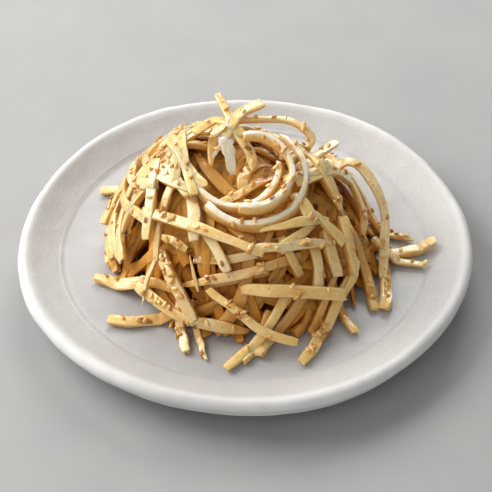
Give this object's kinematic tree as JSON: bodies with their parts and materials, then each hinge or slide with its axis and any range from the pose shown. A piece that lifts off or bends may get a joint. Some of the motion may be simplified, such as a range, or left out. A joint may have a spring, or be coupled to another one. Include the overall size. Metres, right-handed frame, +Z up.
{
  "type": "bowl of shredded dried filefish",
  "caption": "Shallow hand-formed stoneware dish holding a loose heap of seasoned, shredded dried filefish with toasted sesame seeds.",
  "frame": {"origin": "on the table under the middle of the dish", "axes": "+Z up, -Y to the front of the dish as pictured, +X to its right"},
  "size_m": [0.1744, 0.1746, 0.0668],
  "materials": {
    "stoneware": "matte",
    "seasoned_fish": "satin"
  },
  "bodies": {
    "root": {"dish": "stoneware", "shreds_heap": "seasoned_fish"}
  },
  "joints": []
}
